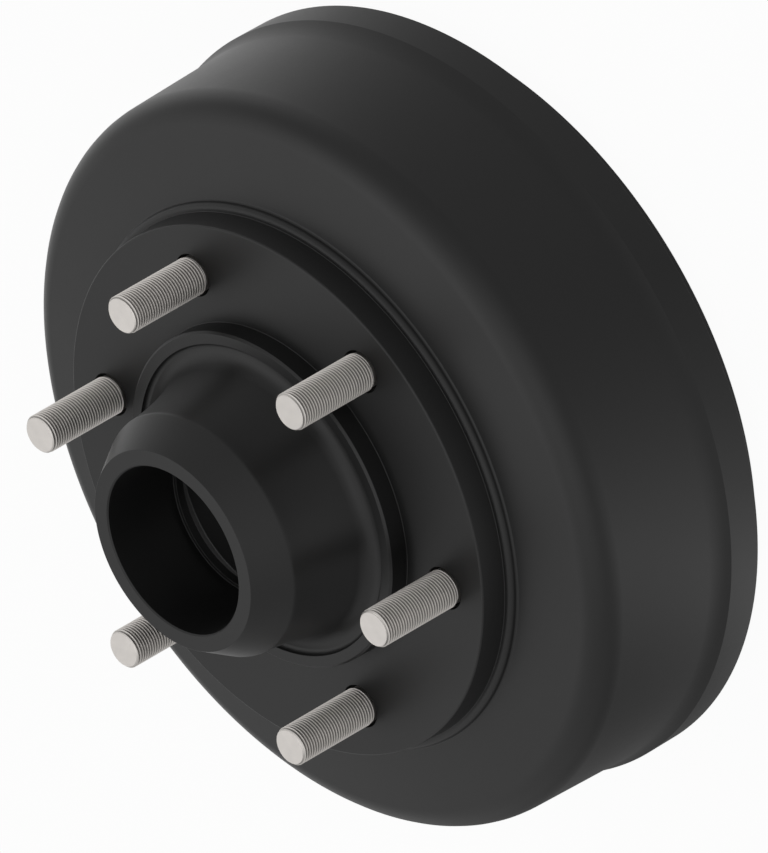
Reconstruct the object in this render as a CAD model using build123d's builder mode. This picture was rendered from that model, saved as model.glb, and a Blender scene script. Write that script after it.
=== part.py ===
from build123d import *
import math
import os

# A hub and brake drum cast in one piece, with six wheel studs pressed into its flange.
# Lengths are millimetres and angles are degrees. The axis is Z, with the hub's nose upwards,
# and the part stands on the open end of its rim at Z = 0.

# Wheel mounting flange. Its face is the height that the other heights are measured from.
mount_height = 124.8
mount_margin = 13.45
mount_edge_chamfer = 0.2
mount_side_height = 12.8
mount_side_draft = 3.0
flange_thickness = 20.0

# Ledge round the foot of the mounting flange, and the coned web that carries the drum
ledge_width = 3.7
ledge_round = 2.6
web_drop = 16.7
web_slope = 9.4
web_thickness = 12.2
web_corner_r = 0.5

# Drum shell, from the friction surface outwards
friction_d = 320.0
drum_wall = 14.67
drum_wall_draft = 1.66
shoulder_r = 15.2
friction_mouth_chamfer = 2.0
friction_corner_r = 5.0

# Rim band and the thinner lip behind it
rim_rise = 4.78
rim_band_width = 16.6
rim_band_draft = 0.7
rim_flare_angle = 28.5
rim_flare_r = 23.0
lip_wall = 9.1
lip_length = 9.6
lip_edge_chamfer = 0.6

# Register ring that centres the wheel, and the shallow trough inside it
register_d = 160.0
register_height = 10.0
register_wall = 6.0
register_chamfer = 1.0
trough_depth = 2.4
trough_corner_r = 7.8
trough_wall_r = 2.0

# Hub barrel on the wheel side: a coned nose, then a barrel that flares towards the flange
nose_height = 63.5
nose_face_d = 95.8
barrel_front_d = 115.8
nose_cone_length = 16.7
barrel_edge_r = 3.2
barrel_upper_flare = 3.9
barrel_lower_flare = 18.0
barrel_bend_drop = 18.0
barrel_bend_r = 125.0

# Hub barrel on the brake side
rear_length = 96.0
rear_wall = 6.5
rear_barrel_draft = 1.5
rear_edge_chamfer = 1.0
rear_root_r = 10.0

# Room behind the flange for the stud heads
head_pocket_gap = 2.0
head_pocket_slope = 47.0
head_pocket_r = 3.0

# Bores, from the nose to the brake side
front_seat_d = 80.0
front_seat_length = 39.9
front_mouth_chamfer = 0.65
front_land_step = 1.8
front_land_length = 4.0
grease_space_slope = 45.0
rear_shoulder_step = 5.0
rear_seat_d = 100.0
rear_seat_length = 23.0
seal_seat_step = 7.5
seal_seat_length = 12.0
seal_mouth_chamfer = 1.0

# Wheel studs
stud_count = 6
stud_circle_d = 205.0
stud_thread_d = 18.0
stud_shank_step = 0.5
stud_hole_margin = 1.0
stud_reach = 43.3
stud_tip_chamfer = 0.9
stud_neck_length = 13.0
stud_neck_gap = 0.02
stud_neck_chamfer = 0.8
stud_head_d = 27.0
stud_head_thickness = 5.0
stud_head_chamfer = 0.8

# Share of a straight run that a corner radius may use up
run_share = 0.98


def fitted_radii(points, wanted):
    """Hold each corner radius of a closed outline to what the runs beside it leave room for."""
    corners = [Vector(*point) for point in points]
    count = len(corners)
    taken = []
    for index, radius in enumerate(wanted):
        before = corners[index - 1] - corners[index]
        after = corners[(index + 1) % count] - corners[index]
        turn = 180 - before.get_angle(after)
        taken.append(radius * math.tan(math.radians(turn / 2)))
    radii = []
    for index, radius in enumerate(wanted):
        fit = 1.0
        for neighbour in (index - 1, (index + 1) % count):
            room = run_share * (corners[neighbour] - corners[index]).length
            needed = taken[index] + taken[neighbour]
            if needed > room:
                fit = min(fit, room / needed)
        radii.append(radius * fit)
    return radii


def outline(corners):
    """Draw a closed outline from (radius from the axis, height, corner radius) rows."""
    points = [(row[0], row[1]) for row in corners]
    FilletPolyline(*points, radius=fitted_radii(points, [row[2] for row in corners]), close=True)


def across(run, angle):
    """Shift to the side over a run, along a line that leans by an angle from the run."""
    return run * math.tan(math.radians(angle))


# Diameters that follow from the ones above
drum_front_d = friction_d + 2 * drum_wall
rim_d = drum_front_d + 2 * rim_rise
lip_d = friction_d + 2 * lip_wall
front_land_d = front_seat_d - 2 * front_land_step
grease_space_d = rear_seat_d - 2 * rear_shoulder_step
seal_seat_d = rear_seat_d + 2 * seal_seat_step
rear_barrel_d = seal_seat_d + 2 * rear_wall
stud_hole_d = stud_thread_d + 2 * stud_hole_margin
stud_shank_d = stud_thread_d - 2 * stud_shank_step
mount_face_d = stud_circle_d + stud_hole_d + 2 * mount_margin
head_pocket_d = stud_circle_d + stud_head_d + 2 * head_pocket_gap

# Heights above the open end of the rim
nose_z = mount_height + nose_height
barrel_z = nose_z - nose_cone_length
register_z = mount_height + register_height
trough_z = register_z - trough_depth
ledge_z = mount_height - mount_side_height
web_z = mount_height - web_drop
rim_front_z = lip_length + rim_band_width
flange_back_z = mount_height - flange_thickness
rear_z = mount_height - rear_length

# Radii of the outside, worked out from the drafts and flares
barrel_bend_z = barrel_z - barrel_bend_drop
barrel_bend_x = barrel_front_d / 2 + across(barrel_bend_drop, barrel_upper_flare)
barrel_root_x = barrel_bend_x + across(barrel_bend_z - trough_z, barrel_lower_flare)
mount_side_x = mount_face_d / 2 + across(mount_side_height, mount_side_draft)
ledge_x = mount_side_x + ledge_width
rim_back_x = rim_d / 2 - across(rim_band_width, rim_band_draft)
web_edge_z = web_z - across(drum_front_d / 2 - ledge_x, web_slope)

# The wall leans out from the shoulder and meets the flare that ends at the rim's front edge.
wall_lean = math.tan(math.radians(drum_wall_draft))
flare_lean = math.tan(math.radians(rim_flare_angle))
wall_gain = rim_d / 2 - drum_front_d / 2 - wall_lean * (web_edge_z - rim_front_z)
flare_height = wall_gain / (flare_lean - wall_lean)
flare_x = rim_d / 2 - flare_lean * flare_height

rear_root_x = rear_barrel_d / 2 + across(flange_back_z - rear_z, rear_barrel_draft)

# Back of the web, at the friction surface and where the side of the stud head pocket meets it
web_lean = math.tan(math.radians(web_slope))
pocket_lean = math.tan(math.radians(head_pocket_slope))
web_back_z = web_z - web_thickness
pocket_fall = flange_back_z - web_back_z + web_lean * (head_pocket_d / 2 - ledge_x)
pocket_depth = pocket_fall / (1 - web_lean * pocket_lean)
pocket_x = head_pocket_d / 2 + pocket_lean * pocket_depth
friction_top_z = web_back_z - across(friction_d / 2 - ledge_x, web_slope)

with BuildPart() as hub_drum:
    # Outside of the casting, from the nose down to the rim's lip
    with BuildSketch(Plane.XZ):
        with BuildLine():
            outline([
                (0, nose_z, 0),
                (nose_face_d / 2, nose_z, 0),
                (barrel_front_d / 2, barrel_z, barrel_edge_r),
                (barrel_bend_x, barrel_bend_z, barrel_bend_r),
                (barrel_root_x, trough_z, trough_corner_r),
                (register_d / 2 - register_wall, trough_z, trough_wall_r),
                (register_d / 2 - register_wall, register_z, 0),
                (register_d / 2 - register_chamfer, register_z, 0),
                (register_d / 2, register_z - register_chamfer, 0),
                (register_d / 2, mount_height, 0),
                (mount_face_d / 2 - mount_edge_chamfer, mount_height, 0),
                (mount_face_d / 2, mount_height - mount_edge_chamfer, 0),
                (mount_side_x, ledge_z, 0),
                (ledge_x, ledge_z, ledge_round),
                (ledge_x, web_z, web_corner_r),
                (drum_front_d / 2, web_edge_z, shoulder_r),
                (flare_x, rim_front_z + flare_height, rim_flare_r),
                (rim_d / 2, rim_front_z, 0),
                (rim_back_x, lip_length, 0),
                (lip_d / 2, lip_length, 0),
                (lip_d / 2, lip_edge_chamfer, 0),
                (lip_d / 2 - lip_edge_chamfer, 0, 0),
                (0, 0, 0),
            ])
        make_face()
    revolve(axis=Axis.Z)

    # Hollow of the drum: the shoe space, the stud head pocket and the room behind the hub
    with BuildSketch(Plane.XZ):
        with BuildLine():
            outline([
                (0, 0, 0),
                (friction_d / 2 + friction_mouth_chamfer, 0, 0),
                (friction_d / 2, friction_mouth_chamfer, 0),
                (friction_d / 2, friction_top_z, friction_corner_r),
                (pocket_x, flange_back_z - pocket_depth, head_pocket_r),
                (head_pocket_d / 2, flange_back_z, head_pocket_r),
                (rear_root_x, flange_back_z, rear_root_r),
                (rear_barrel_d / 2, rear_z + rear_edge_chamfer, 0),
                (rear_barrel_d / 2 - rear_edge_chamfer, rear_z, 0),
                (0, rear_z, 0),
            ])
        make_face()
    revolve(axis=Axis.Z, mode=Mode.SUBTRACT)

    # Stepped bore: front bearing seat, its shoulder and land, grease space, rear seats
    front_shoulder_z = nose_z - front_seat_length
    front_land_z = front_shoulder_z - front_land_length
    grease_top_z = front_land_z - (grease_space_d - front_land_d) / 2 / math.tan(
        math.radians(grease_space_slope)
    )
    rear_shoulder_z = rear_z + seal_seat_length + rear_seat_length
    with BuildSketch(Plane.XZ):
        with BuildLine():
            outline([
                (0, nose_z, 0),
                (front_seat_d / 2 + front_mouth_chamfer, nose_z, 0),
                (front_seat_d / 2, nose_z - front_mouth_chamfer, 0),
                (front_seat_d / 2, front_shoulder_z, 0),
                (front_land_d / 2, front_shoulder_z, 0),
                (front_land_d / 2, front_land_z, 0),
                (grease_space_d / 2, grease_top_z, 0),
                (grease_space_d / 2, rear_shoulder_z, 0),
                (rear_seat_d / 2, rear_shoulder_z, 0),
                (rear_seat_d / 2, rear_z + seal_seat_length, 0),
                (seal_seat_d / 2, rear_z + seal_seat_length, 0),
                (seal_seat_d / 2, rear_z + seal_mouth_chamfer, 0),
                (seal_seat_d / 2 + seal_mouth_chamfer, rear_z, 0),
                (0, rear_z, 0),
            ])
        make_face()
    revolve(axis=Axis.Z, mode=Mode.SUBTRACT)

    # Stud holes through the flange
    with Locations(Location((0, 0, mount_height))):
        with PolarLocations(stud_circle_d / 2, stud_count):
            Hole(stud_hole_d / 2, depth=flange_thickness)

os.makedirs("parts", exist_ok=True)
hub_drum.part.label = "hub_drum"
export_step(hub_drum.part, "parts/hub_drum.step")

# Wheel studs: a head against the back of the flange, a neck and a plain shank in the hole, and
# the thread, which is rolled on from the mounting face outwards
stud_places = PolarLocations(stud_circle_d / 2, stud_count)
for number, place in enumerate(stud_places, start=1):
    base = Plane(place).offset(flange_back_z)
    with BuildPart() as wheel_stud:
        with BuildSketch(base.offset(-stud_head_thickness)):
            Circle(stud_head_d / 2)
        extrude(amount=stud_head_thickness)
        head_rim = wheel_stud.faces().sort_by(Axis.Z)[0].edges()
        chamfer(head_rim, stud_head_chamfer)
        with BuildSketch(base):
            Circle(stud_hole_d / 2 - stud_neck_gap)
        extrude(amount=stud_neck_length)
        neck_rim = wheel_stud.faces().sort_by(Axis.Z)[-1].edges()
        chamfer(neck_rim, stud_neck_chamfer)
        with BuildSketch(base):
            Circle(stud_shank_d / 2)
        extrude(amount=flange_thickness)
        with BuildSketch(base.offset(flange_thickness)):
            Circle(stud_thread_d / 2)
        extrude(amount=stud_reach)
        tip_rim = wheel_stud.faces().sort_by(Axis.Z)[-1].edges()
        chamfer(tip_rim, stud_tip_chamfer)
    stud_name = f"wheel_stud_{number}"
    wheel_stud.part.label = stud_name
    export_step(wheel_stud.part, f"parts/{stud_name}.step")
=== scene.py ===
"""Visual model of a hub and brake drum cast in one piece, with six studs pressed into its flange.

The casting is one turned section with its stud holes laid into the two faces of the flange, and each
stud carries a rolled helical thread. Sizes are in millimetres until a mesh is made from them.
"""

import logging
import math
from collections.abc import Iterator, Mapping, Sequence
from dataclasses import dataclass
from enum import Enum

import bmesh
import bpy
from mathutils import Matrix, Vector


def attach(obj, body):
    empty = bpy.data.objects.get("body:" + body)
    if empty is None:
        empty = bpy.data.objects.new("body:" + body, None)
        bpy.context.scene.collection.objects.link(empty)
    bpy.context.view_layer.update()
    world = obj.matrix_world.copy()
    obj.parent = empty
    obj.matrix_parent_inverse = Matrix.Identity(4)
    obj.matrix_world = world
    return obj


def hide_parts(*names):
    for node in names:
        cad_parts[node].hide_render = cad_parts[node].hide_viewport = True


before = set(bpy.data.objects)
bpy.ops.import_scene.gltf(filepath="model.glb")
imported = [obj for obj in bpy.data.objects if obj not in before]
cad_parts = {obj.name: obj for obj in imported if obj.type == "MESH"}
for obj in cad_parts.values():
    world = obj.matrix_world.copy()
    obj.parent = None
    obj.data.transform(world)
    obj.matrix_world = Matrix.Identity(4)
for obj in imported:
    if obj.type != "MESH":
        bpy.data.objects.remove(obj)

MM = 0.001
LOG = logging.getLogger("hub_drum")
BODY = "root"
WELD = 0.001
SLIVER = 0.0005
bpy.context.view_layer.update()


# Node sheets: shader maths as Python expressions


class Feed(Enum):
    """What a socket carries, which decides the node that works on it."""

    VALUE = "VALUE"
    VECTOR = "VECTOR"
    COLOUR = "RGBA"
    SHADER = "SHADER"


class Wire:
    """A node's output that takes part in Python expressions on values, vectors and colours."""

    def __init__(self, sheet: "NodeSheet", socket: bpy.types.NodeSocket) -> None:
        """Wrap a socket of a node sheet.

        Args:
            sheet: The node sheet.
            socket: The output socket.
        """
        self.sheet = sheet
        self.socket = socket
        self.feed = Feed(socket.type)

    def _join(self, operation: str, other: "Wire | float", swapped: bool = False) -> "Wire":
        """Add the node that joins this wire with another operand.

        Args:
            operation: Name of the arithmetic operation, such as ``"ADD"``.
            other: The other operand.
            swapped: True where the other operand stands on the left.

        Returns:
            The wire that leaves the new node.
        """
        pair = (other, self) if swapped else (self, other)
        kinds = {item.feed for item in pair if isinstance(item, Wire)}
        if Feed.COLOUR in kinds:
            return self.sheet.blend(pair[0], pair[1], 1.0, operation)
        settings = {"operation": operation}
        if Feed.VECTOR in kinds:
            triples = [item if isinstance(item, Wire) else (item,) * 3 for item in pair]
            made = self.sheet.add("ShaderNodeVectorMath", settings, dict(enumerate(triples)))
        else:
            made = self.sheet.add("ShaderNodeMath", settings, dict(enumerate(pair)))
        return self.sheet.wire(made)

    def __add__(self, other: "Wire | float") -> "Wire":
        """Sum of this wire and another operand."""
        return self._join("ADD", other)

    def __radd__(self, other: float) -> "Wire":
        """Sum with a number on the left."""
        return self._join("ADD", other, swapped=True)

    def __sub__(self, other: "Wire | float") -> "Wire":
        """Difference of this wire and another operand."""
        return self._join("SUBTRACT", other)

    def __rsub__(self, other: float) -> "Wire":
        """Difference with a number on the left."""
        return self._join("SUBTRACT", other, swapped=True)

    def __mul__(self, other: "Wire | float") -> "Wire":
        """Product of this wire and another operand."""
        return self._join("MULTIPLY", other)

    def __rmul__(self, other: float) -> "Wire":
        """Product with a number on the left."""
        return self._join("MULTIPLY", other, swapped=True)

    def __truediv__(self, other: "Wire | float") -> "Wire":
        """Quotient of this wire and another operand."""
        return self._join("DIVIDE", other)

    def __rtruediv__(self, other: float) -> "Wire":
        """Quotient with a number on the left."""
        return self._join("DIVIDE", other, swapped=True)


Operand = Wire | float | tuple[float, ...]


class NodeSheet:
    """The node tree of one material or world."""

    def __init__(self, tree: bpy.types.NodeTree) -> None:
        """Start from an empty tree."""
        self.tree = tree
        tree.nodes.clear()

    def add(
        self,
        kind: str,
        settings: Mapping[str, object] | None = None,
        sockets: Mapping[str | int, Operand] | None = None,
    ) -> bpy.types.Node:
        """Add a node, set it up and feed its sockets.

        Args:
            kind: Type of the node.
            settings: Properties by name, set first.
            sockets: Values or wires by input name or number.

        Returns:
            The new node.
        """
        made = self.tree.nodes.new(kind)
        for name, value in (settings or {}).items():
            setattr(made, name, value)
        for key, value in (sockets or {}).items():
            if isinstance(value, Wire):
                self.tree.links.new(value.socket, made.inputs[key])
            else:
                made.inputs[key].default_value = value
        return made

    def wire(self, node: bpy.types.Node, output: str | int = 0) -> Wire:
        """Wrap one output of a node."""
        return Wire(self, node.outputs[output])

    def blend(self, first: Operand, second: Operand, share: Wire | float, how: str = "MIX") -> Wire:
        """Blend two colours.

        Args:
            first: The colour underneath.
            second: The colour on top.
            share: How much of the second colour shows.
            how: Blend type.

        Returns:
            The blended colour.
        """
        both = (first, second)
        pair = [item if isinstance(item, (Wire, tuple)) else (item, item, item, 1.0) for item in both]
        made = self.add(
            "ShaderNodeMix",
            {"data_type": "RGBA", "blend_type": how, "clamp_factor": True},
            {0: share, 6: pair[0], 7: pair[1]},
        )
        return self.wire(made, 2)

    def noise(self, place: Wire, size: float, detail: float = 2.0) -> Wire:
        """Even noise about zero.

        Args:
            place: Where the noise is read.
            size: Size of its grain in millimetres.
            detail: How many finer layers it has.

        Returns:
            A value from about minus a half to plus a half.
        """
        sockets = {"Vector": place, "Scale": 1.0 / (size * MM), "Detail": detail}
        return self.wire(self.add("ShaderNodeTexNoise", None, sockets)) - 0.5

    def step(self, value: Wire, low: float, high: float) -> Wire:
        """Smooth rise from 0 at the low end to 1 at the high end of a range.

        Args:
            value: What is compared with the range.
            low: Where the rise begins.
            high: Where the rise ends; below ``low`` for a fall.

        Returns:
            The risen value.
        """
        made = self.add(
            "ShaderNodeMapRange",
            {"interpolation_type": "SMOOTHSTEP", "clamp": True},
            {0: value, 1: low, 2: high},
        )
        return self.wire(made, 0)

    def local_place(self) -> tuple[Wire, Wire, Wire]:
        """Place on the object.

        Returns:
            The point, its distance from the object's axis and its height.
        """
        point = self.wire(self.add("ShaderNodeTexCoord"), "Object")
        parts = self.add("ShaderNodeSeparateXYZ", None, {0: point})
        flat = self.add("ShaderNodeCombineXYZ", None, {0: self.wire(parts, 0), 1: self.wire(parts, 1)})
        length = self.add("ShaderNodeVectorMath", {"operation": "LENGTH"}, {0: self.wire(flat)})
        return point, self.wire(length, 1), self.wire(parts, 2)

    def rays(self) -> tuple[Wire, Wire]:
        """Tell the camera's rays and mirrored rays from the others.

        Returns:
            1 for rays from the camera, and 1 for reflections and refractions.
        """
        paths = self.add("ShaderNodeLightPath")
        mirrored = self.wire(paths, "Is Glossy Ray") + self.wire(paths, "Is Transmission Ray")
        return self.wire(paths, "Is Camera Ray"), self.step(mirrored, 0.0, 1.0)

    def grey(self, value: Wire) -> Wire:
        """Turn a value into the grey of that strength."""
        return self.wire(self.add("ShaderNodeCombineColor", None, {0: value, 1: value, 2: value}))


def new_material(name: str) -> tuple[bpy.types.Material, NodeSheet]:
    """Make an empty node material.

    Args:
        name: Name of the material.

    Returns:
        The material and its node sheet.
    """
    material = bpy.data.materials.new(name)
    material.use_nodes = True
    return material, NodeSheet(material.node_tree)


# Finishes


@dataclass(frozen=True)
class CoatedIron:
    """Satin black coating over cast iron, worn off where the brake shoes run."""

    swept_radius: float
    name: str = "satin_black_coating"
    colour: float = 0.008
    roughness: float = 0.45
    specular: float = 0.5
    cloud_size: float = 34.0
    cloud_roughness: float = 0.05
    fleck_size: float = 2.2
    fleck_roughness: float = 0.04
    mottling: float = 0.12
    grain: float = 0.7
    grain_height: float = 0.010
    swept_inner: tuple[float, float] = (-0.5, -0.2)
    swept_outer: tuple[float, float] = (0.6, 0.3)
    swept_depth: float = 86.0
    swept_fade: float = 0.6
    swept_polish: float = 0.1
    swept_metal: float = 0.9
    iron: tuple[float, float, float] = (0.30, 0.2955, 0.288)
    turning_scale: float = 700.0
    turning_wobble: float = 0.4
    turning_depth: float = 0.3

    def _swept(self, sheet: NodeSheet, radius: Wire, height: Wire) -> Wire:
        """Mask of the friction surface.

        Args:
            sheet: The node sheet.
            radius: Distance from the axis.
            height: Height above the open end.

        Returns:
            1 on the band that the shoes rub and 0 elsewhere.
        """
        past_inner = sheet.step(radius, *((self.swept_radius + away) * MM for away in self.swept_inner))
        short_of_outer = sheet.step(radius, *((self.swept_radius + away) * MM for away in self.swept_outer))
        below = sheet.step(height, self.swept_depth * MM, (self.swept_depth - self.swept_fade) * MM)
        return past_inner * short_of_outer * below

    def make(self) -> bpy.types.Material:
        """Build the coating, with a bare turned band on the friction surface.

        Returns:
            The finished material.
        """
        material, sheet = new_material(self.name)
        point, radius, height = sheet.local_place()
        swept = self._swept(sheet, radius, height)
        clouds = sheet.noise(point, self.cloud_size, 3.0)
        flecks = sheet.noise(point, self.fleck_size)
        shade = 1.0 + (clouds + flecks) * self.mottling
        coat = sheet.grey(shade * self.colour)
        turning = sheet.add(
            "ShaderNodeTexWave",
            {"wave_type": "BANDS", "bands_direction": "Z"},
            {"Vector": point, "Scale": self.turning_scale, "Distortion": self.turning_wobble, "Detail": 1.0},
        )
        grain = sheet.noise(point, self.grain, 3.0) * (1.0 - swept)
        relief = grain + sheet.wire(turning, 1) * swept * self.turning_depth
        bump = sheet.add("ShaderNodeBump", None, {"Distance": self.grain_height * MM, "Height": relief})
        roughness = self.roughness + clouds * self.cloud_roughness + flecks * self.fleck_roughness
        shader = sheet.add(
            "ShaderNodeBsdfPrincipled",
            None,
            {
                "Base Color": sheet.blend(coat, (*self.iron, 1.0), swept),
                "Roughness": roughness - swept * self.swept_polish,
                "Metallic": swept * self.swept_metal,
                "Specular IOR Level": self.specular,
                "Normal": sheet.wire(bump),
            },
        )
        sheet.add("ShaderNodeOutputMaterial", None, {"Surface": sheet.wire(shader)})
        return material


@dataclass(frozen=True)
class RolledSteel:
    """Bright steel of the studs, with painted shade in the thread roots and a turned tip."""

    name: str = "bright_stud_steel"
    colour: tuple[float, float, float] = (0.80, 0.765, 0.73)
    roughness: float = 0.5
    # The next three sizes set the painted shade in the thread roots: where it starts, where it ends and how
    # dark it gets.
    root_radius: float = 8.15
    crest_radius: float = 9.0
    painted_root_shade: float = 0.36
    thread_top: tuple[float, float] = (42.6, 43.0)
    thread_foot: tuple[float, float] = (-1.0, -2.0)
    stain_size: float = 6.0
    stain_shade: float = 0.16
    stain_roughness: float = 0.14
    turning_pitch: float = 0.35
    turning_height: float = 0.5
    grain: float = 0.25
    relief_strength: float = 0.35
    relief_height: float = 0.01

    def make(self) -> bpy.types.Material:
        """Build the steel.

        Returns:
            The finished material.
        """
        material, sheet = new_material(self.name)
        point, radius, height = sheet.local_place()
        # Painted shade: the thread roots are darkened by their distance from the axis, while the tip and the
        # stud below the thread stay bright.
        crest = sheet.step(radius, self.root_radius * MM, self.crest_radius * MM)
        tip = sheet.step(height, *(place * MM for place in self.thread_top))
        plain = tip + sheet.step(height, *(place * MM for place in self.thread_foot))
        light = crest * (1.0 - plain) + plain
        stains = sheet.noise(point, self.stain_size, 4.0)
        bright = (*self.colour, 1.0)
        painted_shade_colour = (*(part * self.painted_root_shade for part in self.colour), 1.0)
        rings = sheet.add(
            "ShaderNodeMath",
            {"operation": "SINE"},
            {0: radius * (2.0 * math.pi / (self.turning_pitch * MM))},
        )
        relief = sheet.wire(rings) * self.turning_height + sheet.noise(point, self.grain)
        depth = {"Strength": self.relief_strength, "Distance": self.relief_height * MM, "Height": relief}
        bump = sheet.add("ShaderNodeBump", None, depth)
        shader = sheet.add(
            "ShaderNodeBsdfPrincipled",
            None,
            {
                "Base Color": sheet.blend(painted_shade_colour, bright, light) * sheet.grey(1.0 + stains * self.stain_shade),
                "Roughness": self.roughness + stains * self.stain_roughness,
                "Metallic": 1.0,
                "Normal": sheet.wire(bump),
            },
        )
        sheet.add("ShaderNodeOutputMaterial", None, {"Surface": sheet.wire(shader)})
        return material


@dataclass(frozen=True)
class PaintedFloorShade:
    """Painted shade that greys one side of the floor in reflections."""

    azimuth: float
    start: float
    full: float
    amount: float

    def shade(self, sheet: NodeSheet, x: Wire, y: Wire, distance: Wire) -> Wire:
        """How much painted shade darkens the floor in reflections.

        Args:
            sheet: The node sheet.
            x: First coordinate on the floor.
            y: Second coordinate on the floor.
            distance: Distance from the part's axis.

        Returns:
            0 away from the side, rising to the amount straight towards it.
        """
        turn = math.radians(self.azimuth)
        facing = (x * math.cos(turn) + y * math.sin(turn)) / distance
        return sheet.step(facing, self.start, self.full) * self.amount


@dataclass(frozen=True)
class PaleFloor:
    """White studio floor that keeps a soft shadow, shows white to the camera and has painted shade on two
    sides in reflections.
    """

    name: str = "white_floor"
    colour: float = 0.9
    own_light: float = 0.96
    footprint: tuple[float, float] = (160.0, 165.0)
    # Painted shade: two sides of the floor are greyer in reflections, which darkens the part's walls where
    # they mirror them.
    near_painted_shade: PaintedFloorShade = PaintedFloorShade(70.0, 0.2, 0.95, 0.52)
    far_painted_shade: PaintedFloorShade = PaintedFloorShade(295.0, 0.45, 0.95, 0.7)

    def make(self) -> bpy.types.Material:
        """Build the floor's material.

        Returns:
            The finished material.
        """
        material, sheet = new_material(self.name)
        point, distance, _ = sheet.local_place()
        parts = sheet.add("ShaderNodeSeparateXYZ", None, {0: point})
        place = (sheet.wire(parts, 0), sheet.wire(parts, 1), distance)
        camera, mirrored = sheet.rays()
        # Painted shade on two sides of the floor, for reflected rays only; the camera's rays see none of it.
        shade = 1.0 - mirrored * (self.near_painted_shade.shade(sheet, *place) + self.far_painted_shade.shade(sheet, *place))
        open_floor = sheet.step(distance, *(radius * MM for radius in self.footprint))
        paint = sheet.add("ShaderNodeBsdfDiffuse", None, {"Color": (self.colour,) * 3 + (1.0,)})
        glow = sheet.add("ShaderNodeEmission", None, {"Color": sheet.grey(shade), "Strength": 1.0})
        seen = sheet.add(
            "ShaderNodeMixShader",
            None,
            {
                0: camera * open_floor * self.own_light + mirrored,
                1: sheet.wire(paint),
                2: sheet.wire(glow),
            },
        )
        sheet.add("ShaderNodeOutputMaterial", None, {"Surface": sheet.wire(seen)})
        return material


# Turned sections

Ring = Sequence[bmesh.types.BMVert]


@dataclass(frozen=True)
class Corner:
    """One corner of a turned section: radius from the axis, height and rounding."""

    r: float
    z: float
    rounding: float = 0.3
    on_band: bool = False


@dataclass(frozen=True)
class TurnedSection:
    """Closed outline that is turned round the axis, with every corner rounded."""

    corners: tuple[Corner, ...]
    arc_step: float = 15.0
    chord: float = 2.5
    run_share: float = 0.98

    def _taken(self, index: int) -> float:
        """Length that a corner's rounding takes off the runs beside it.

        Args:
            index: Number of the corner.

        Returns:
            The length in millimetres.
        """
        corner = self.corners[index]
        before = self.corners[index - 1]
        after = self.corners[(index + 1) % len(self.corners)]
        run_in = Vector((before.r - corner.r, before.z - corner.z))
        run_out = Vector((after.r - corner.r, after.z - corner.z))
        return corner.rounding / math.tan(run_in.angle(run_out) / 2)

    def _radius(self, index: int) -> float:
        """Hold a corner's rounding to what the runs beside it leave room for.

        Args:
            index: Number of the corner.

        Returns:
            The rounding that fits.
        """
        corner = self.corners[index]
        fit = 1.0
        for beside in (index - 1, (index + 1) % len(self.corners)):
            neighbour = self.corners[beside]
            room = self.run_share * math.hypot(neighbour.r - corner.r, neighbour.z - corner.z)
            needed = self._taken(index) + self._taken(beside)
            if needed > room:
                fit = min(fit, room / needed)
        return corner.rounding * fit

    def points(self) -> Iterator[tuple[float, float, bool]]:
        """Walk along the outline.

        Yields:
            Radius, height and whether the point bounds a band with stud holes.
        """
        for index, corner in enumerate(self.corners):
            if corner.rounding == 0.0:
                yield corner.r, corner.z, corner.on_band
                continue
            radius = self._radius(index)
            here = Vector((corner.r, corner.z))
            before = self.corners[index - 1]
            after = self.corners[(index + 1) % len(self.corners)]
            to_before = (Vector((before.r, before.z)) - here).normalized()
            to_after = (Vector((after.r, after.z)) - here).normalized()
            half = to_before.angle(to_after) / 2
            centre = here + (to_before + to_after).normalized() * (radius / math.sin(half))
            spoke = here + to_before * (radius / math.tan(half)) - centre
            turn = math.pi - 2 * half
            if to_before.x * to_after.y - to_before.y * to_after.x < 0:
                turn = -turn
            by_angle = math.ceil(abs(math.degrees(turn)) / self.arc_step)
            steps = max(2, by_angle, math.ceil(abs(turn) * radius / self.chord))
            for step in range(steps + 1):
                angle = -turn * step / steps
                yield (
                    centre.x + spoke.x * math.cos(angle) - spoke.y * math.sin(angle),
                    centre.y + spoke.x * math.sin(angle) + spoke.y * math.cos(angle),
                    False,
                )


def leaning(height: float, angle: float) -> float:
    """Sideways shift over a height along a line that leans by an angle from the axis."""
    return height * math.tan(math.radians(angle))


def finish_mesh(bm: bmesh.types.BMesh, name: str, sharp_angle: float) -> bpy.types.Object:
    """Close a mesh, shade it smooth between its sharp edges and put it in the scene.

    Args:
        bm: The mesh being built; it is freed.
        name: Name of the new object.
        sharp_angle: Angle in degrees above which an edge stays sharp.

    Returns:
        The new object.
    """
    bmesh.ops.remove_doubles(bm, verts=bm.verts, dist=WELD * MM)
    bmesh.ops.dissolve_degenerate(bm, edges=bm.edges, dist=SLIVER * MM)
    bmesh.ops.recalc_face_normals(bm, faces=bm.faces)
    mesh = bpy.data.meshes.new(name)
    bm.to_mesh(mesh)
    bm.free()
    mesh.shade_smooth()
    mesh.set_sharp_from_angle(angle=math.radians(sharp_angle))
    piece = bpy.data.objects.new(name, mesh)
    bpy.context.scene.collection.objects.link(piece)
    weighted = piece.modifiers.new("weighted_normals", "WEIGHTED_NORMAL")
    weighted.keep_sharp = True
    return piece


# Casting


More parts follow.
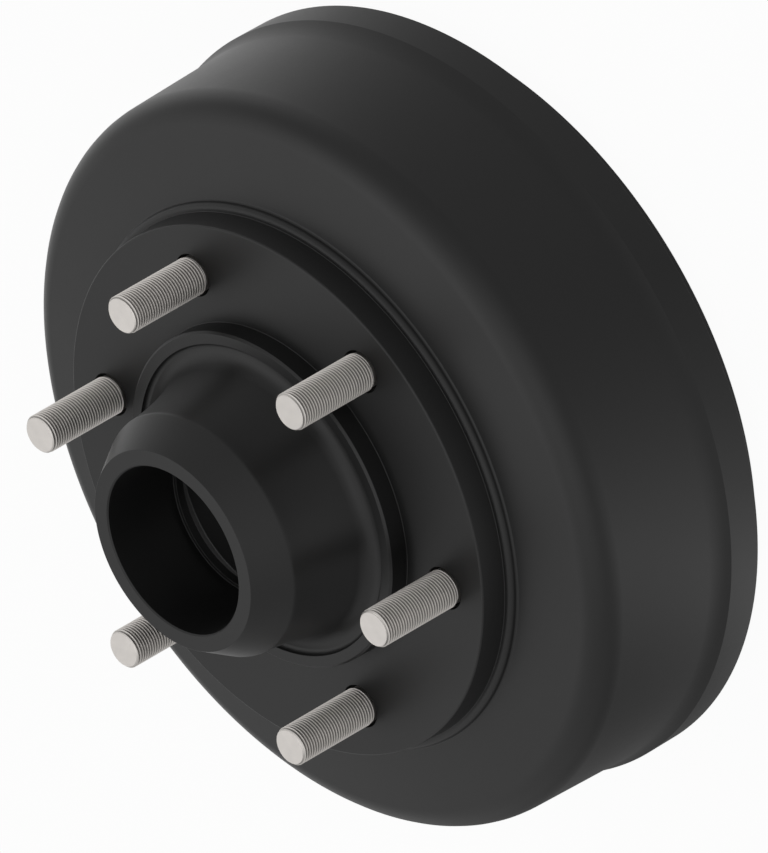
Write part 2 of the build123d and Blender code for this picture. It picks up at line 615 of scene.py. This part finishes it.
@dataclass
class HubDrum:
    """The casting: hub barrel, wheel flange, web, drum shell and rim in one turned section."""

    mount_height: float = 124.8
    mount_margin: float = 13.45
    mount_edge: float = 0.9
    mount_side_height: float = 12.8
    mount_side_draft: float = 3.0
    flange_thickness: float = 20.0
    ledge_width: float = 3.7
    ledge_round: float = 2.6
    web_drop: float = 16.7
    web_slope: float = 9.4
    web_thickness: float = 12.2
    web_corner: float = 1.2
    friction_d: float = 320.0
    friction_mouth: float = 2.0
    friction_corner: float = 5.0
    drum_wall: float = 14.67
    drum_wall_draft: float = 1.66
    shoulder: float = 15.2
    rim_rise: float = 4.78
    rim_band_width: float = 16.6
    rim_band_draft: float = 0.7
    rim_flare_angle: float = 28.5
    rim_flare: float = 23.0
    lip_wall: float = 9.1
    lip_length: float = 9.6
    lip_edge: float = 0.6
    register_d: float = 160.0
    register_height: float = 10.0
    register_wall: float = 6.0
    register_edge: float = 1.0
    trough_depth: float = 2.4
    trough_corner: float = 7.8
    trough_wall: float = 2.0
    nose_height: float = 63.5
    nose_face_d: float = 95.8
    nose_cone_length: float = 16.7
    barrel_front_d: float = 115.8
    barrel_edge: float = 3.2
    barrel_upper_flare: float = 3.9
    barrel_lower_flare: float = 18.0
    barrel_bend_drop: float = 18.0
    barrel_bend: float = 125.0
    rear_length: float = 96.0
    rear_wall: float = 6.5
    rear_draft: float = 1.5
    rear_edge: float = 1.0
    rear_root: float = 10.0
    pocket_gap: float = 2.0
    pocket_slope: float = 47.0
    pocket_corner: float = 3.0
    front_seat_d: float = 80.0
    front_seat_length: float = 39.9
    front_mouth: float = 0.65
    land_step: float = 1.8
    land_length: float = 4.0
    rear_seat_d: float = 100.0
    rear_seat_length: float = 23.0
    rear_shoulder_step: float = 5.0
    seal_step: float = 7.5
    seal_length: float = 12.0
    seal_mouth: float = 1.0
    stud_count: int = 6
    stud_circle_d: float = 205.0
    stud_hole_d: float = 20.0
    stud_head_d: float = 27.0
    hole_edge: float = 0.2
    turned_edge: float = 0.2
    ring_edge: float = 0.15
    bevel_edge: float = 0.1
    space_corner: float = 2.0
    band_inner: float = 88.0
    band_outer: float = 115.5
    segments: int = 288
    side_steps: int = 10
    sharp_angle: float = 28.0

    @property
    def flange_back(self) -> float:
        """Height of the flange's back face."""
        return self.mount_height - self.flange_thickness

    @property
    def face_r(self) -> float:
        """Radius of the mounting face."""
        return (self.stud_circle_d + self.stud_hole_d) / 2 + self.mount_margin

    @property
    def ledge_r(self) -> float:
        """Radius of the ledge round the mounting flange's foot."""
        return self.face_r + leaning(self.mount_side_height, self.mount_side_draft) + self.ledge_width

    def _web_height(self, radius: float) -> float:
        """Height of the coned web's front at a radius.

        Args:
            radius: Distance from the axis.

        Returns:
            The height above the open end.
        """
        return self.mount_height - self.web_drop - leaning(radius - self.ledge_r, self.web_slope)

    def _wheel_side(self) -> list[Corner]:
        """Lay out the hub's wheel side.

        Returns:
            Corners from the nose to the foot of the mounting flange.
        """
        nose = self.mount_height + self.nose_height
        barrel = nose - self.nose_cone_length
        ring = self.mount_height + self.register_height
        trough = ring - self.trough_depth
        bend = barrel - self.barrel_bend_drop
        bend_r = self.barrel_front_d / 2 + leaning(self.barrel_bend_drop, self.barrel_upper_flare)
        root_r = bend_r + leaning(bend - trough, self.barrel_lower_flare)
        ledge = self.mount_height - self.mount_side_height
        ring_r = self.register_d / 2
        return [
            Corner(self.nose_face_d / 2, nose),
            Corner(self.barrel_front_d / 2, barrel, self.barrel_edge),
            Corner(bend_r, bend, self.barrel_bend),
            Corner(root_r, trough, self.trough_corner),
            Corner(ring_r - self.register_wall, trough, self.trough_wall),
            Corner(ring_r - self.register_wall, ring),
            Corner(ring_r - self.register_edge, ring, self.ring_edge),
            Corner(ring_r, ring - self.register_edge, self.ring_edge),
            Corner(ring_r, self.mount_height),
            Corner(self.band_inner, self.mount_height, 0.0, on_band=True),
            Corner(self.band_outer, self.mount_height, 0.0, on_band=True),
            Corner(self.face_r, self.mount_height, self.mount_edge),
            Corner(self.ledge_r - self.ledge_width, ledge),
            Corner(self.ledge_r, ledge, self.ledge_round),
            Corner(self.ledge_r, self.mount_height - self.web_drop, self.web_corner),
        ]

    def _shell(self) -> list[Corner]:
        """Lay out the drum shell.

        Returns:
            Corners from the shoulder round the rim to the inside of the web.
        """
        front_r = self.friction_d / 2 + self.drum_wall
        web = self._web_height(front_r)
        rim_r = front_r + self.rim_rise
        rim_front = self.lip_length + self.rim_band_width
        wall_lean = math.tan(math.radians(self.drum_wall_draft))
        flare_lean = math.tan(math.radians(self.rim_flare_angle))
        gain = self.rim_rise - wall_lean * (web - rim_front)
        flare = gain / (flare_lean - wall_lean)
        lip_r = self.friction_d / 2 + self.lip_wall
        return [
            Corner(front_r, web, self.shoulder),
            Corner(rim_r - flare_lean * flare, rim_front + flare, self.rim_flare),
            Corner(rim_r, rim_front, self.turned_edge),
            Corner(rim_r - leaning(self.rim_band_width, self.rim_band_draft), self.lip_length),
            Corner(lip_r, self.lip_length),
            Corner(lip_r, self.lip_edge, self.bevel_edge),
            Corner(lip_r - self.lip_edge, 0.0, self.bevel_edge),
            Corner(self.friction_d / 2 + self.friction_mouth, 0.0),
            Corner(self.friction_d / 2, self.friction_mouth, self.turned_edge),
            Corner(
                self.friction_d / 2,
                self._web_height(self.friction_d / 2) - self.web_thickness,
                self.friction_corner,
            ),
        ]

    def _brake_side(self) -> list[Corner]:
        """Lay out the brake side.

        Returns:
            Corners from the stud head pocket over the rear barrel to its seats.
        """
        back = self.flange_back
        pocket_r = (self.stud_circle_d + self.stud_head_d) / 2 + self.pocket_gap
        pocket_lean = math.tan(math.radians(self.pocket_slope))
        web_lean = math.tan(math.radians(self.web_slope))
        drop = back - self._web_height(pocket_r) + self.web_thickness
        depth = drop / (1 - web_lean * pocket_lean)
        rear = self.mount_height - self.rear_length
        seat_r = self.rear_seat_d / 2
        seal_r = seat_r + self.seal_step
        barrel_r = seal_r + self.rear_wall
        seat_foot = rear + self.seal_length
        return [
            Corner(pocket_r + pocket_lean * depth, back - depth, self.pocket_corner),
            Corner(pocket_r, back, self.pocket_corner),
            Corner(self.band_outer, back, 0.0, on_band=True),
            Corner(self.band_inner, back, 0.0, on_band=True),
            Corner(barrel_r + leaning(back - rear, self.rear_draft), back, self.rear_root),
            Corner(barrel_r, rear + self.rear_edge, self.turned_edge),
            Corner(barrel_r - self.rear_edge, rear, self.turned_edge),
            Corner(seal_r + self.seal_mouth, rear, self.turned_edge),
            Corner(seal_r, rear + self.seal_mouth, self.turned_edge),
            Corner(seal_r, seat_foot),
            Corner(seat_r, seat_foot),
            Corner(seat_r, seat_foot + self.rear_seat_length),
            Corner(seat_r - self.rear_shoulder_step, seat_foot + self.rear_seat_length),
        ]

    def _front_bore(self) -> list[Corner]:
        """Lay out the front of the bore.

        Returns:
            Corners from the grease space up to the nose.
        """
        nose = self.mount_height + self.nose_height
        seat_r = self.front_seat_d / 2
        land_r = seat_r - self.land_step
        shoulder = nose - self.front_seat_length
        land_foot = shoulder - self.land_length
        space_r = self.rear_seat_d / 2 - self.rear_shoulder_step
        return [
            Corner(space_r, land_foot - (space_r - land_r), self.space_corner),
            Corner(land_r, land_foot),
            Corner(land_r, shoulder, self.turned_edge),
            Corner(seat_r, shoulder),
            Corner(seat_r, nose - self.front_mouth, self.bevel_edge),
            Corner(seat_r + self.front_mouth, nose, self.bevel_edge),
        ]

    def section(self) -> TurnedSection:
        """Join the whole section of the casting."""
        outside = self._wheel_side() + self._shell()
        return TurnedSection(tuple(outside + self._brake_side() + self._front_bore()))

    def _turn(self, bm: bmesh.types.BMesh) -> None:
        """Turn the section round the axis, leaving the two bands with the stud holes open.

        Args:
            bm: The mesh being built.
        """
        points = list(self.section().points())
        spokes = [2 * math.pi * step / self.segments for step in range(self.segments)]
        rings = [
            [bm.verts.new((r * MM * math.cos(a), r * MM * math.sin(a), z * MM)) for a in spokes]
            for r, z, _ in points
        ]
        for index, ring in enumerate(rings):
            following = (index + 1) % len(rings)
            if points[index][2] and points[following][2]:
                continue
            join_rings(bm, ring, rings[following])

    def _sector_edge(self, azimuth: float) -> Iterator[Vector]:
        """Walk round the piece of the band that one stud hole stands in.

        Args:
            azimuth: Direction of the hole in radians.

        Yields:
            Points of the edge, in millimetres.
        """
        half = math.pi / self.stud_count
        arc_steps = self.segments // self.stud_count
        corners = [
            (self.band_outer, -half, self.band_outer, half, arc_steps),
            (self.band_outer, half, self.band_inner, half, self.side_steps),
            (self.band_inner, half, self.band_inner, -half, arc_steps),
            (self.band_inner, -half, self.band_outer, -half, self.side_steps),
        ]
        for from_r, from_a, to_r, to_a, steps in corners:
            for step in range(steps):
                share = step / steps
                r = from_r + (to_r - from_r) * share
                a = azimuth + from_a + (to_a - from_a) * share
                yield Vector((r * math.cos(a), r * math.sin(a)))

    def _stud_hole(self, bm: bmesh.types.BMesh, azimuth: float) -> None:
        """Lay one stud hole, with broken edges, into the front and back bands.

        Args:
            bm: The mesh being built.
            azimuth: Direction of the hole in radians.
        """
        middle = Vector((math.cos(azimuth), math.sin(azimuth))) * (self.stud_circle_d / 2)
        edge = list(self._sector_edge(azimuth))
        r = self.stud_hole_d / 2
        top, foot = self.mount_height, self.flange_back
        wall = [
            (r + self.hole_edge, top),
            (r, top - self.hole_edge),
            (r, foot + self.hole_edge),
            (r + self.hole_edge, foot),
        ]
        rings = [[bm.verts.new((p.x * MM, p.y * MM, top * MM)) for p in edge]]
        for radius, height in wall:
            places = [middle + (p - middle).normalized() * radius for p in edge]
            rings.append([bm.verts.new((p.x * MM, p.y * MM, height * MM)) for p in places])
        rings.append([bm.verts.new((p.x * MM, p.y * MM, foot * MM)) for p in edge])
        for ring, following in zip(rings, rings[1:]):
            join_rings(bm, ring, following)

    def make(self, finish: CoatedIron) -> bpy.types.Object:
        """Build the casting and coat it.

        Args:
            finish: The coating.

        Returns:
            The casting.
        """
        bm = bmesh.new()
        self._turn(bm)
        for number in range(self.stud_count):
            self._stud_hole(bm, 2 * math.pi * number / self.stud_count)
        casting = finish_mesh(bm, "drum_casting", self.sharp_angle)
        casting.data.materials.append(finish.make())
        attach(casting, BODY)
        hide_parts("hub_drum")
        return casting


def join_rings(bm: bmesh.types.BMesh, ring: Ring, following: Ring) -> None:
    """Close the strip between two rings of as many points.

    Args:
        bm: The mesh being built.
        ring: The first ring.
        following: The ring beside it.
    """
    for here in range(len(ring)):
        there = (here + 1) % len(ring)
        bm.faces.new((ring[here], ring[there], following[there], following[here]))


# Studs


@dataclass
class WheelStud:
    """A wheel stud: head, knurled neck and a shank with a rolled right-hand thread."""

    number: int
    azimuth: float
    face_height: float
    circle_d: float
    head_d: float
    thread_d: float = 18.0
    pitch: float = 1.5
    thread_depth: float = 0.92
    crest_round: float = 0.03
    root_round: float = 0.05
    turns_below: int = 2
    reach: float = 43.3
    tip_d: float = 16.0
    tip_edge: float = 0.15
    neck_d: float = 19.96
    neck_top: float = -7.0
    neck_edge: float = 0.8
    shank_d: float = 17.0
    run_out: float = 0.6
    knurl_depth: float = 0.3
    knurl_start: float = 0.01
    head_top: float = -20.0
    head_thickness: float = 5.0
    head_edge: float = 0.8
    columns: int = 64
    sharp_angle: float = 35.0

    def _profile(self) -> list[tuple[float, float]]:
        """Lay out one pitch of the thread, with a crest an eighth and a root a quarter of it wide.

        Returns:
            Pairs of share of the pitch and radius, from the crest's lower edge.
        """
        crest = self.thread_d / 2
        root = crest - self.thread_depth
        return [
            (0.0, crest - self.crest_round),
            (0.0625, crest),
            (0.125, crest - self.crest_round),
            (0.28, (crest + root) / 2),
            (0.4375, root + self.root_round),
            (0.5625, root),
            (0.6875, root + self.root_round),
            (0.84, (crest + root) / 2),
        ]

    def _thread_radius(self, share: float) -> float:
        """Radius of the thread at a share of its pitch.

        Args:
            share: Place along the pitch, in pitches.

        Returns:
            The radius in millimetres.
        """
        profile = self._profile()
        profile.append((1.0, profile[0][1]))
        place = share % 1.0
        for (low, low_r), (high, high_r) in zip(profile, profile[1:]):
            if place <= high:
                return low_r + (high_r - low_r) * (place - low) / (high - low)
        return profile[0][1]

    def _thread_point(self, height: float, column: int) -> Vector:
        """Point of the thread on one column, held between the mounting face and the tip.

        Args:
            height: Height wanted, in millimetres above the mounting face.
            column: Number of the column.

        Returns:
            The point in metres.
        """
        turn = column / self.columns
        held = min(max(height, 0.0), self.reach)
        radius = self._thread_radius(held / self.pitch - turn)
        rising = self.shank_d / 2 + (radius - self.shank_d / 2) * min(held / self.run_out, 1.0)
        radius = min(rising, self.tip_d / 2 + self.reach - held)
        angle = 2 * math.pi * turn
        return Vector((radius * math.cos(angle), radius * math.sin(angle), held)) * MM

    def _thread(self, bm: bmesh.types.BMesh) -> tuple[Ring, Ring]:
        """Build the helical thread.

        Args:
            bm: The mesh being built.

        Returns:
            The lowest and the highest row of points.
        """
        shares = [share for share, _ in self._profile()]
        per_pitch = len(shares)
        turns = range(-self.turns_below, math.ceil(self.reach / self.pitch) + 1)
        heights = [(turn + share) * self.pitch for turn in turns for share in shares]
        climb = self.pitch / self.columns
        rows = [
            [bm.verts.new(self._thread_point(height + climb * c, c)) for c in range(self.columns)]
            for height in heights
        ]
        for index in range(len(rows) - 1):
            for column in range(self.columns - 1):
                row, above = rows[index], rows[index + 1]
                bm.faces.new((row[column], row[column + 1], above[column + 1], above[column]))
        for index in range(len(rows) - 1):
            low = rows[min(index + per_pitch, len(rows) - 1)][0]
            high = rows[min(index + per_pitch + 1, len(rows) - 1)][0]
            if low is high:
                continue
            bm.faces.new((rows[index][-1], low, high, rows[index + 1][-1]))
        return rows[0], rows[-1]

    def _ring(self, bm: bmesh.types.BMesh, radius: float, height: float, knurl: float = 0.0) -> Ring:
        """Add one ring of points round the stud.

        Args:
            bm: The mesh being built.
            radius: Its radius.
            height: Its height above the mounting face.
            knurl: How much further in every other point lies.

        Returns:
            The points.
        """
        ring = []
        for column in range(self.columns):
            angle = 2 * math.pi * column / self.columns
            r = radius - knurl * (column % 2)
            ring.append(bm.verts.new((r * math.cos(angle) * MM, r * math.sin(angle) * MM, height * MM)))
        return ring

    def _shank_foot(self, bm: bmesh.types.BMesh) -> Ring:
        """Build the head, the knurled neck and the plain shank in the hole.

        Args:
            bm: The mesh being built.

        Returns:
            The shank's top ring.
        """
        head_r, neck_r = self.head_d / 2, self.neck_d / 2
        head_foot = self.head_top - self.head_thickness
        rings = [
            self._ring(bm, head_r - self.head_edge, head_foot),
            self._ring(bm, head_r, head_foot + self.head_edge),
            self._ring(bm, head_r, self.head_top - self.tip_edge),
            self._ring(bm, head_r - self.tip_edge, self.head_top),
            self._ring(bm, neck_r, self.head_top),
            self._ring(bm, neck_r, self.head_top + self.neck_edge),
            self._ring(bm, neck_r, self.head_top + self.neck_edge + self.knurl_start, self.knurl_depth),
            self._ring(bm, neck_r, self.neck_top - self.neck_edge, self.knurl_depth),
            self._ring(bm, neck_r - self.neck_edge, self.neck_top),
            self._ring(bm, self.shank_d / 2, self.neck_top),
            self._ring(bm, self.shank_d / 2, -self.tip_edge),
        ]
        for ring, following in zip(rings, rings[1:]):
            join_rings(bm, ring, following)
        bm.faces.new(rings[0])
        return rings[-1]

    def make(self, steel: bpy.types.Material) -> bpy.types.Object:
        """Build the stud and set it in its hole.

        Args:
            steel: The studs' material.

        Returns:
            The stud.
        """
        bm = bmesh.new()
        low, high = self._thread(bm)
        neck = self._shank_foot(bm)
        join_rings(bm, neck, low)
        inner = self._ring(bm, self.tip_d / 2 - self.tip_edge, self.reach)
        join_rings(bm, high, inner)
        bm.faces.new(inner)
        stud = finish_mesh(bm, f"threaded_stud_{self.number}", self.sharp_angle)
        r = self.circle_d / 2
        across, along = r * math.cos(self.azimuth), r * math.sin(self.azimuth)
        stud.location = Vector((across, along, self.face_height)) * MM
        stud.rotation_euler = (0.0, 0.0, self.azimuth)
        stud.data.materials.append(steel)
        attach(stud, BODY)
        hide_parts(f"wheel_stud_{self.number}")
        return stud


# Studio


@dataclass(frozen=True)
class SoftLamp:
    """A square soft lamp that faces the part."""

    name: str
    azimuth: float
    elevation: float
    level: float
    distance: float = 3.0
    size: float = 2.6

    def make(self, target: Vector) -> None:
        """Hang the lamp.

        Args:
            target: The point that it faces.
        """
        data = bpy.data.lights.new(self.name, "AREA")
        data.size = self.size
        data.energy = self.level * math.pi**2 * self.distance**2
        lamp = bpy.data.objects.new(self.name, data)
        turn, rise = math.radians(self.azimuth), math.radians(self.elevation)
        away = Vector((math.cos(turn) * math.cos(rise), math.sin(turn) * math.cos(rise), math.sin(rise)))
        lamp.location = target + away * self.distance
        lamp.rotation_euler = away.to_track_quat("Z", "Y").to_euler()
        bpy.context.scene.collection.objects.link(lamp)


@dataclass
class Studio:
    """White studio: floor, room light and soft lamps."""

    floor_width: float = 6.0
    ambient: float = 0.2
    mirrored: float = 0.52
    target: tuple[float, float, float] = (0.0, 0.0, 0.09)
    lamps: tuple[SoftLamp, ...] = (
        SoftLamp("high_left_lamp", 225.0, 68.0, 0.10),
        SoftLamp("high_back_lamp", 135.0, 68.0, 0.09),
        SoftLamp("high_right_lamp", 0.0, 68.0, 0.04),
        SoftLamp("right_lamp", 0.0, 45.0, 0.08),
        SoftLamp("left_lamp", 180.0, 45.0, 0.06),
        SoftLamp("near_lamp", 45.0, 45.0, 0.055),
        SoftLamp("lower_lamp", 270.0, 45.0, 0.015),
        SoftLamp("low_far_lamp", 225.0, 4.0, 0.02),
    )

    def _floor(self) -> None:
        """Lay the floor that the part stands on."""
        half = self.floor_width / 2
        mesh = bpy.data.meshes.new("studio_floor")
        corners = [(-half, -half, 0), (half, -half, 0), (half, half, 0), (-half, half, 0)]
        mesh.from_pydata(corners, [], [(0, 1, 2, 3)])
        floor = bpy.data.objects.new("studio_floor", mesh)
        bpy.context.scene.collection.objects.link(floor)
        floor.data.materials.append(PaleFloor().make())

    def _room(self) -> None:
        """Light the room evenly, and show it white to the camera and pale grey in reflections."""
        world = bpy.data.worlds.new("white_room")
        world.use_nodes = True
        bpy.context.scene.world = world
        sheet = NodeSheet(world.node_tree)
        camera, mirrored = sheet.rays()
        strength = self.ambient + camera * (1.0 - self.ambient) + mirrored * (self.mirrored - self.ambient)
        white = (1.0, 1.0, 1.0, 1.0)
        light = sheet.add("ShaderNodeBackground", None, {"Color": white, "Strength": strength})
        sheet.add("ShaderNodeOutputWorld", None, {"Surface": sheet.wire(light)})

    def make(self) -> None:
        """Set the studio up."""
        self._floor()
        self._room()
        for lamp in self.lamps:
            lamp.make(Vector(self.target))
        bpy.context.scene.view_settings.view_transform = "Standard"


@dataclass
class PhotoCamera:
    """Far camera at the photograph's isometric angle, rolled so that the nose points down left."""

    face_height: float
    lens: float = 1500.0
    film: float = 36.0
    reach: float = 100.0
    photo_long_side: float = 369.6
    right_of_face: float = 46.5
    above_face: float = 27.93

    def make(self) -> bpy.types.Object:
        """Aim the camera.

        Returns:
            The camera.
        """
        right = Vector((1, 0, -1)).normalized()
        up = Vector((-1, 2, -1)).normalized()
        back = Vector((1, 1, 1)).normalized()
        aim = Vector((0, 0, self.face_height)) + right * self.right_of_face + up * self.above_face
        distance = self.photo_long_side * self.lens / self.film
        data = bpy.data.cameras.new("photo_camera")
        data.lens = self.lens
        data.sensor_width = self.film
        data.clip_end = self.reach
        camera = bpy.data.objects.new("photo_camera", data)
        turn = Matrix((right, up, back)).transposed().to_4x4()
        camera.matrix_world = Matrix.Translation((aim + back * distance) * MM) @ turn
        bpy.context.scene.collection.objects.link(camera)
        bpy.context.scene.camera = camera
        return camera


def report(piece: bpy.types.Object) -> None:
    """Log a piece's name and how finely it is built.

    Args:
        piece: The piece.
    """
    piece.data.calc_loop_triangles()
    LOG.info("%s: %d triangles", piece.name, len(piece.data.loop_triangles))


def main() -> None:
    """Build the part and its studio."""
    logging.basicConfig(level=logging.INFO, format="%(name)s: %(message)s")
    drum = HubDrum()
    PhotoCamera(drum.mount_height).make()
    Studio().make()
    report(drum.make(CoatedIron(swept_radius=drum.friction_d / 2)))
    steel = RolledSteel().make()
    for number in range(drum.stud_count):
        azimuth = 2 * math.pi * number / drum.stud_count
        stud = WheelStud(number + 1, azimuth, drum.mount_height, drum.stud_circle_d, drum.stud_head_d)
        report(stud.make(steel))


if __name__ == "__main__":
    main()
